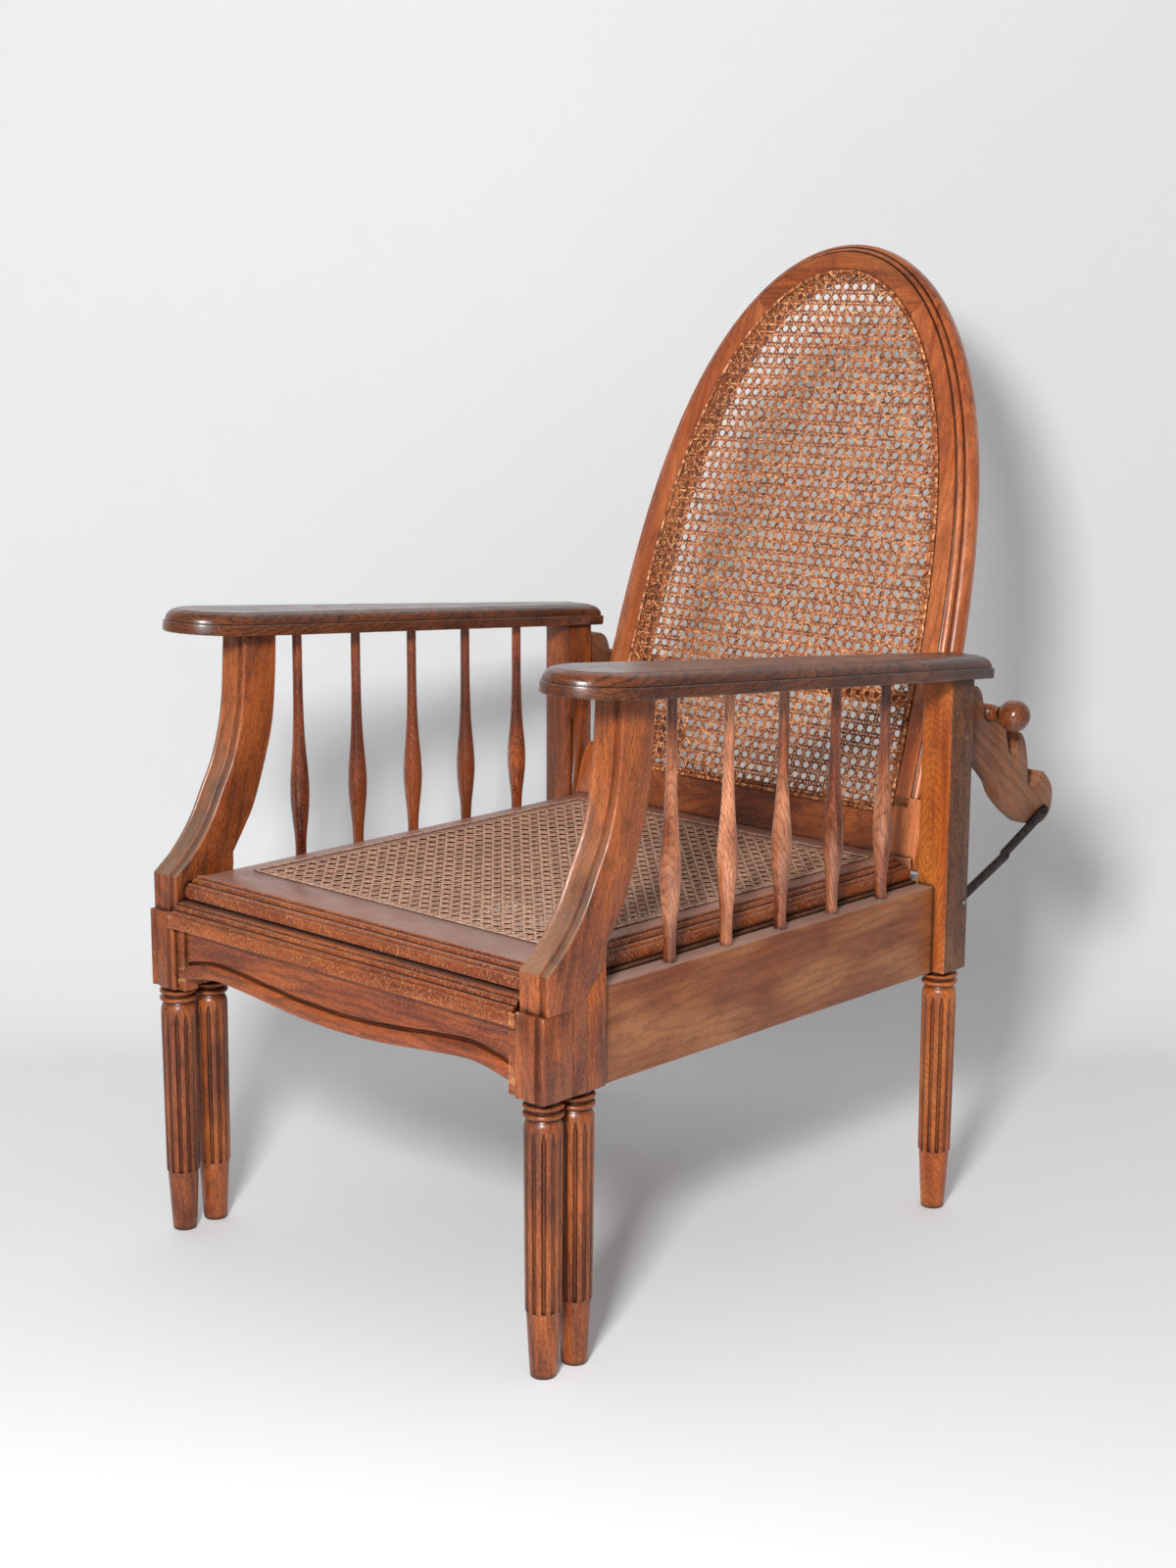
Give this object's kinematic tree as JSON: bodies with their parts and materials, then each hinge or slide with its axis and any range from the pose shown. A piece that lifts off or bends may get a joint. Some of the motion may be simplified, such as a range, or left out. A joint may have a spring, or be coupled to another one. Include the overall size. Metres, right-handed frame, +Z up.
{
  "type": "reclining armchair",
  "caption": "Wooden reclining armchair with caned seat and arched back, notched rear brackets with a support bar, and a sliding leg rest.",
  "frame": {"origin": "on the floor under the middle of the chair's bounding box", "axes": "+Z up, -Y towards the front of the chair, +X towards the sitter's left, which is the right of a viewer in front"},
  "size_m": [0.6786, 0.8528, 1.0643],
  "materials": {
    "stained_beech": "stained reddish brown, satin varnish",
    "arm_beech": "dark stained, satin, worn pale on top",
    "seat_beech": "stained, dull and dusty on top",
    "inner_beech": "thinly stained, unvarnished",
    "polished_beech": "turned and polished",
    "cane": "woven rattan cane, aged",
    "iron": "dark strap iron"
  },
  "bodies": {
    "root": {"arm_support_left": "stained_beech", "arm_support_right": "stained_beech", "armrest_left": "arm_beech", "armrest_right": "arm_beech", "front_leg_left": "stained_beech", "front_leg_right": "stained_beech", "front_lower_rail": "inner_beech", "leg_rest_runner_left": "inner_beech", "leg_rest_runner_right": "inner_beech", "pivot_pin_left": "iron", "pivot_pin_right": "iron", "ratchet_bracket_left": "stained_beech", "ratchet_bracket_right": "stained_beech", "rear_post_left": "stained_beech", "rear_post_right": "stained_beech", "rear_rail": "stained_beech", "seat_cane": "cane", "seat_cleat_left": "inner_beech", "seat_cleat_right": "inner_beech", "seat_frame_front": "seat_beech", "seat_frame_left": "seat_beech", "seat_frame_rear": "seat_beech", "seat_frame_right": "seat_beech", "side_rail_left": "stained_beech", "side_rail_right": "stained_beech", "spindle_left_1": "stained_beech", "spindle_left_2": "stained_beech", "spindle_left_3": "stained_beech", "spindle_left_4": "stained_beech", "spindle_left_5": "stained_beech", "spindle_right_1": "stained_beech", "spindle_right_2": "stained_beech", "spindle_right_3": "stained_beech", "spindle_right_4": "stained_beech", "spindle_right_5": "stained_beech", "stay_lower_left": "iron", "stay_lower_right": "iron", "stay_upper_left": "iron", "stay_upper_right": "iron"},
    "backrest": {"back_bottom_rail": "stained_beech", "back_cane": "cane", "back_crest": "stained_beech", "back_stile_left": "stained_beech", "back_stile_right": "stained_beech"},
    "support_bar": {"support_bar": "stained_beech", "ball_knob_left": "polished_beech", "ball_knob_right": "polished_beech"},
    "leg_rest": {"leg_rest_apron": "stained_beech", "leg_rest_cane": "cane", "leg_rest_front": "stained_beech", "leg_rest_leg_left": "stained_beech", "leg_rest_leg_right": "stained_beech", "leg_rest_rail_left": "inner_beech", "leg_rest_rail_rear": "inner_beech", "leg_rest_rail_right": "inner_beech"}
  },
  "joints": [
    {"name": "back_recline", "type": "hinge", "parent": "root", "child": "backrest", "pos_m": [0, 0.2188, 0.398], "axis": [-1, 0, 0], "range_deg": [0, 42]},
    {"name": "support_bar_swing", "type": "hinge", "parent": "root", "child": "support_bar", "pos_m": [0, 0.3257, 0.5014], "axis": [-1, 0, 0], "range_deg": [0, 150]},
    {"name": "leg_rest_slide", "type": "slide", "parent": "root", "child": "leg_rest", "axis": [0, -1, 0], "range_m": [0, 0.42]}
  ],
  "couplings": [
    {"joint": "support_bar_swing", "follows": "back_recline", "ratio": 3.5714}
  ]
}
